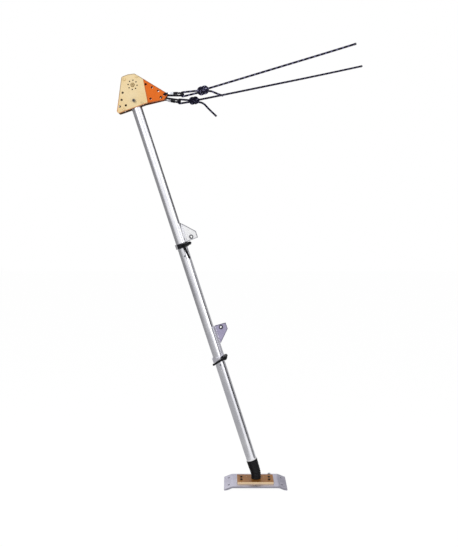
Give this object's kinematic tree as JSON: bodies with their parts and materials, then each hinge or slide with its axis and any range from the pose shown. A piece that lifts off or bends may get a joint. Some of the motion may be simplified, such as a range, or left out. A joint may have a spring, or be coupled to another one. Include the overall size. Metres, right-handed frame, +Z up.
{
  "type": "guyed gin pole",
  "caption": "Leaning three-section tube on a hinged toothed foot, with a two-plate head over a sheave, clamp-on rigging fins, and guy ropes held by carabiners.",
  "frame": {"origin": "on the ground, straight under the foot pivot", "axes": "+Z up; +X towards the side the guy ropes run to, away from the lean; +Y from the front of the picture to the back, across the head plates"},
  "size_m": [1.4332, 0.5657, 2.5065],
  "materials": {
    "head_paint": "satin orange anodised look",
    "bare_aluminium": "brushed",
    "bracket_silver": "satin",
    "fastener_steel": "plated",
    "spring_steel": "dull",
    "bronze": "machined",
    "black_plastic": "moulded",
    "white_plastic": "moulded",
    "black_anodised": "anodised",
    "rope": "braided",
    "boot_rubber": "moulded",
    "base_paint": "anodised",
    "dark_steel": "blackened"
  },
  "bodies": {
    "mast": {"head_plate_front": "head_paint", "head_plate_rear": "head_paint", "head_spacers": "fastener_steel", "head_bolts": "fastener_steel", "head_nuts": "fastener_steel", "sheave_bush": "bronze", "axle_collars": "bare_aluminium", "sheave_axle": "fastener_steel", "axle_nut": "fastener_steel", "tube_upper": "bare_aluminium", "tube_middle": "bare_aluminium", "tube_lower": "bare_aluminium", "coupler_upper": "bare_aluminium", "coupler_lower": "bare_aluminium", "snap_spring_upper": "spring_steel", "snap_spring_lower": "spring_steel", "top_cap": "black_plastic", "boot": "boot_rubber", "mast_yoke": "bare_aluminium"},
    "sheave": {"sheave": "bare_aluminium"},
    "leg_pin": {"leg_pin": "fastener_steel"},
    "pin_button": {"pin_button": "black_plastic"},
    "snap_upper": {"snap_button_upper": "fastener_steel"},
    "snap_lower": {"snap_button_lower": "fastener_steel"},
    "liner_upper": {"clamp_liner_upper": "white_plastic"},
    "clamp_upper": {"bracket_upper": "bracket_silver", "eye_bush_upper": "black_plastic", "clamp_stud_upper": "fastener_steel", "clamp_nut_upper": "fastener_steel", "clamp_washer_upper": "black_plastic"},
    "lever_upper": {"clamp_lever_upper": "black_plastic"},
    "liner_lower": {"clamp_liner_lower": "white_plastic"},
    "clamp_lower": {"bracket_lower": "bracket_silver", "eye_bush_lower": "black_plastic", "clamp_stud_lower": "fastener_steel", "clamp_nut_lower": "fastener_steel", "clamp_washer_lower": "black_plastic"},
    "lever_lower": {"clamp_lever_lower": "black_plastic"},
    "crab_front": {"carabiner_front": "black_anodised", "gate_pin_front": "fastener_steel", "rope_front": "rope", "knot_front": "rope", "tail_front": "rope"},
    "gate_front": {"gate_front": "fastener_steel"},
    "sleeve_front": {"lock_sleeve_front": "black_anodised"},
    "crab_rear": {"carabiner_rear": "black_anodised", "gate_pin_rear": "fastener_steel", "rope_rear": "rope", "knot_rear": "rope", "tail_rear": "rope"},
    "gate_rear": {"gate_rear": "fastener_steel"},
    "sleeve_rear": {"lock_sleeve_rear": "black_anodised"},
    "cross": {"cross": "fastener_steel"},
    "foot": {"post_yoke": "bare_aluminium", "post_bolt": "fastener_steel", "base_plate": "base_paint", "foot_plate": "bare_aluminium", "foot_bolts": "dark_steel", "foot_nuts": "fastener_steel", "rear_stud": "fastener_steel"}
  },
  "joints": [
    {"name": "sheave_spin", "type": "hinge", "parent": "mast", "child": "sheave", "pos_m": [-0.70209, 0, 2.32419], "axis": [0, 1, 0], "continuous": true},
    {"name": "leg_pin_pull", "type": "slide", "parent": "mast", "child": "leg_pin", "axis": [0, -1, 0], "range_m": [0, 0.1]},
    {"name": "pin_button_push", "type": "slide", "parent": "leg_pin", "child": "pin_button", "axis": [0, 1, 0], "range_m": [0, 0.003], "stiffness_N_per_m": 400, "springref_m": -0.002},
    {"name": "snap_upper_push", "type": "slide", "parent": "mast", "child": "snap_upper", "axis": [0, 1, 0], "range_m": [0, 0.004], "stiffness_N_per_m": 900, "springref_m": -0.003, "deforming": ["snap_spring_upper"]},
    {"name": "snap_lower_push", "type": "slide", "parent": "mast", "child": "snap_lower", "axis": [0, 1, 0], "range_m": [0, 0.004], "stiffness_N_per_m": 900, "springref_m": -0.003, "deforming": ["snap_spring_lower"]},
    {"name": "bracket_upper_slide", "type": "slide", "parent": "mast", "child": "liner_upper", "axis": [-0.3057, 0, 0.9521], "range_m": [-0.04, 0.6]},
    {"name": "bracket_upper_turn", "type": "hinge", "parent": "liner_upper", "child": "clamp_upper", "pos_m": [0, 0, 0.072], "axis": [-0.3057, 0, 0.9521], "continuous": true},
    {"name": "lever_upper_turn", "type": "hinge", "parent": "clamp_upper", "child": "lever_upper", "pos_m": [-0.3968, -0.0215, 1.42969], "axis": [-0.4761, -0.866, -0.1528], "range_deg": [-120, 120]},
    {"name": "bracket_lower_slide", "type": "slide", "parent": "mast", "child": "liner_lower", "axis": [-0.3057, 0, 0.9521], "range_m": [-0.015, 0.35]},
    {"name": "bracket_lower_turn", "type": "hinge", "parent": "liner_lower", "child": "clamp_lower", "pos_m": [0, 0, 0.072], "axis": [-0.3057, 0, 0.9521], "continuous": true},
    {"name": "lever_lower_turn", "type": "hinge", "parent": "clamp_lower", "child": "lever_lower", "pos_m": [-0.17962, -0.00375, 0.77158], "axis": [-0.083, -0.9962, -0.0266], "range_deg": [-120, 120]},
    {"name": "crab_front_swing", "type": "hinge", "parent": "mast", "child": "crab_front", "pos_m": [-0.52398, -0.01792, 2.27319], "axis": [0, 1, 0], "range_deg": [-45, 7]},
    {"name": "gate_front_open", "type": "hinge", "parent": "crab_front", "child": "gate_front", "pos_m": [-0.5014, -0.03608, 2.27662], "axis": [0.0181, 0.2071, 0.9781], "range_deg": [0, 22], "stiffness_Nm_per_rad": 0.25, "springref_deg": -17.19},
    {"name": "sleeve_front_lock", "type": "slide", "parent": "gate_front", "child": "sleeve_front", "axis": [0.9897, -0.1427, 0.0119], "range_m": [0, 0.007]},
    {"name": "crab_rear_swing", "type": "hinge", "parent": "mast", "child": "crab_rear", "pos_m": [-0.54408, 0.02152, 2.25729], "axis": [0, 1, 0], "range_deg": [-7, 45]},
    {"name": "gate_rear_open", "type": "hinge", "parent": "crab_rear", "child": "gate_rear", "pos_m": [-0.52172, 0.03884, 2.25014], "axis": [-0.1419, -0.2156, -0.9661], "range_deg": [0, 22], "stiffness_Nm_per_rad": 0.25, "springref_deg": -17.19},
    {"name": "sleeve_rear_lock", "type": "slide", "parent": "gate_rear", "child": "sleeve_rear", "axis": [0.9799, 0.1073, -0.1679], "range_m": [0, 0.007]},
    {"name": "foot_tilt_side", "type": "hinge", "parent": "mast", "child": "cross", "pos_m": [0, 0, 0.072], "axis": [0, 1, 0], "range_deg": [-45, 12], "deforming": ["boot"]},
    {"name": "foot_tilt_front", "type": "hinge", "parent": "cross", "child": "foot", "pos_m": [0, 0, 0.072], "axis": [1, 0, 0], "range_deg": [-30, 30], "deforming": ["boot"]}
  ]
}
